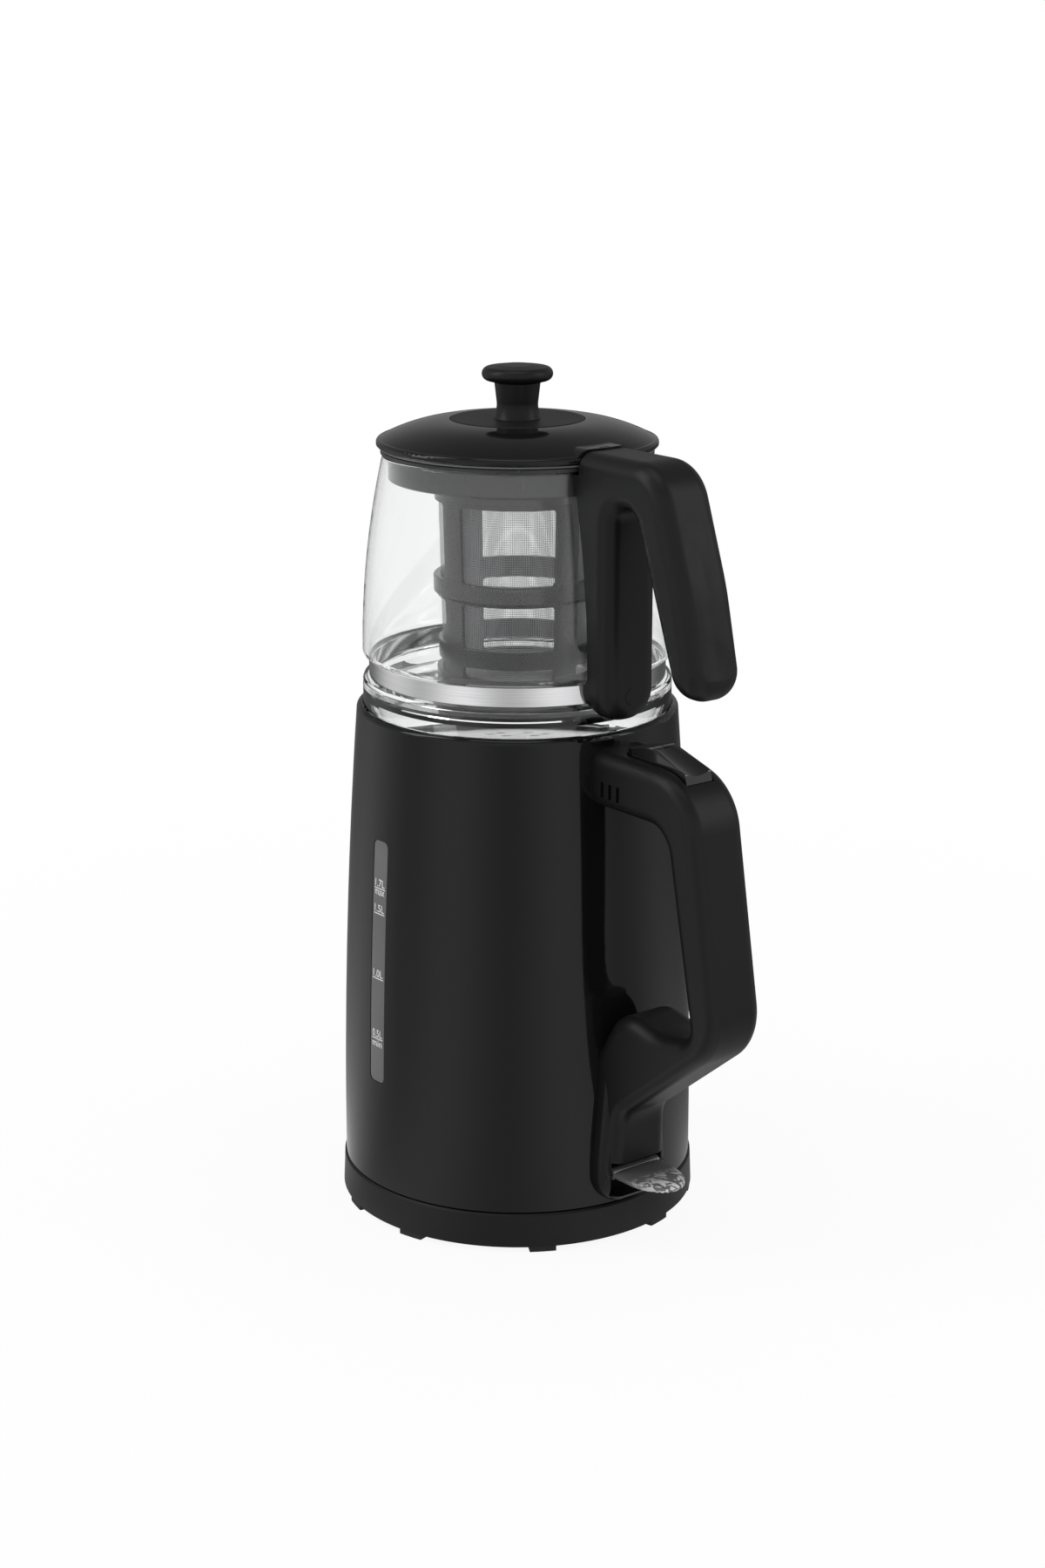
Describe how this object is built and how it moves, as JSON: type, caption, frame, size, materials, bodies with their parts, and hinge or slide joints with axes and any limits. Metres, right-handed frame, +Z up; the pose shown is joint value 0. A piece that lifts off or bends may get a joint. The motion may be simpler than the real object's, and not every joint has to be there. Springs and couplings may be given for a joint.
{
  "type": "electric tea maker",
  "caption": "Electric tea maker: kettle on a round power base, with a level window and an angular handle, and a glass teapot with a caged infuser and a lid on top.",
  "frame": {"origin": "on the kettle's axis, on the plane that the feet stand on", "axes": "+Z up, +X towards both handles, -Y towards the level window"},
  "size_m": [0.2281, 0.1606, 0.3756],
  "materials": {
    "black_lacquered_steel": "mirror-gloss black lacquer over sheet steel",
    "gloss_black_plastic": "glossy black moulding",
    "satin_black_plastic": "satin black moulding",
    "matte_black_plastic": "fine matte black moulding",
    "smoked_plastic": "dark smoked plastic",
    "clear_plastic": "clear moulding",
    "clear_glass": "clear blown glass",
    "polished_steel": "polished stainless steel",
    "plain_steel": "plain steel",
    "aluminium": "plain aluminium sheath",
    "brass_contacts": "plain brass",
    "black_rubber": "black rubber",
    "silicone": "grey silicone"
  },
  "bodies": {
    "base": {"base_housing": "matte_black_plastic", "base_plate": "matte_black_plastic", "base_feet": "black_rubber", "base_screws": "plain_steel", "power_connector": "matte_black_plastic", "hub_contacts": "brass_contacts", "cord_gland": "black_rubber"},
    "kettle": {"kettle_body": "black_lacquered_steel", "level_window": "clear_plastic", "window_gasket": "silicone", "heater_plate": "plain_steel", "heating_element": "aluminium", "underside_cover": "matte_black_plastic", "thermostat_control": "matte_black_plastic", "bimetal_disc": "plain_steel", "cover_screws": "plain_steel", "mouth_collar": "gloss_black_plastic", "lid_hinge_pin": "plain_steel", "handle_outer_shell": "satin_black_plastic", "handle_inner_shell": "satin_black_plastic", "handle_studs": "plain_steel", "button_pivot_pin": "plain_steel", "lever_pivot_pin": "plain_steel", "button_spring": "plain_steel"},
    "button": {"lid_button": "gloss_black_plastic"},
    "lever": {"switch_lever": "clear_plastic"},
    "kettle_lid": {"kettle_lid_plate": "gloss_black_plastic", "kettle_lid_liner": "polished_steel", "kettle_lid_seal": "silicone"},
    "teapot": {"teapot_glass": "clear_glass", "steel_band": "polished_steel", "band_screw": "plain_steel", "screw_cap": "satin_black_plastic", "pot_handle_outer": "satin_black_plastic", "pot_handle_inner": "satin_black_plastic"},
    "infuser": {"infuser_collar": "smoked_plastic", "infuser_upper_cage": "smoked_plastic", "infuser_lower_cage": "smoked_plastic", "infuser_mesh": "polished_steel"},
    "pot_lid": {"pot_lid_dome": "gloss_black_plastic", "pot_lid_disc": "matte_black_plastic", "pot_lid_knob": "satin_black_plastic", "knob_screw": "plain_steel", "pot_lid_seal": "silicone"}
  },
  "joints": [
    {"name": "kettle_lift", "type": "slide", "parent": "base", "child": "kettle", "axis": [0, 0, 1], "range_m": [0, 0.06]},
    {"name": "teapot_lift", "type": "slide", "parent": "kettle", "child": "teapot", "axis": [0, 0, 1], "range_m": [0, 0.18]},
    {"name": "infuser_lift", "type": "slide", "parent": "teapot", "child": "infuser", "axis": [0, 0, 1], "range_m": [0, 0.11]},
    {"name": "pot_lid_lift", "type": "slide", "parent": "infuser", "child": "pot_lid", "axis": [0, 0, 1], "range_m": [0, 0.05]},
    {"name": "kettle_lid_hinge", "type": "hinge", "parent": "kettle", "child": "kettle_lid", "pos_m": [0.057, 0, 0.2238], "axis": [0, 1, 0], "range_deg": [0, 75]},
    {"name": "lid_button_press", "type": "hinge", "parent": "kettle", "child": "button", "pos_m": [0.094, 0, 0.2174], "axis": [0, 1, 0], "range_deg": [0, 4], "stiffness_Nm_per_rad": 2.5, "springref_deg": -1.15, "deforming": ["button_spring"]},
    {"name": "switch_toggle", "type": "hinge", "parent": "kettle", "child": "lever", "pos_m": [0.0834, 0, 0.0344], "axis": [0, 1, 0], "range_deg": [0, 12]}
  ],
  "couplings": [
    {"joint": "kettle_lid_hinge", "follows": "teapot_lift", "rad_per_m": 7.27}
  ]
}
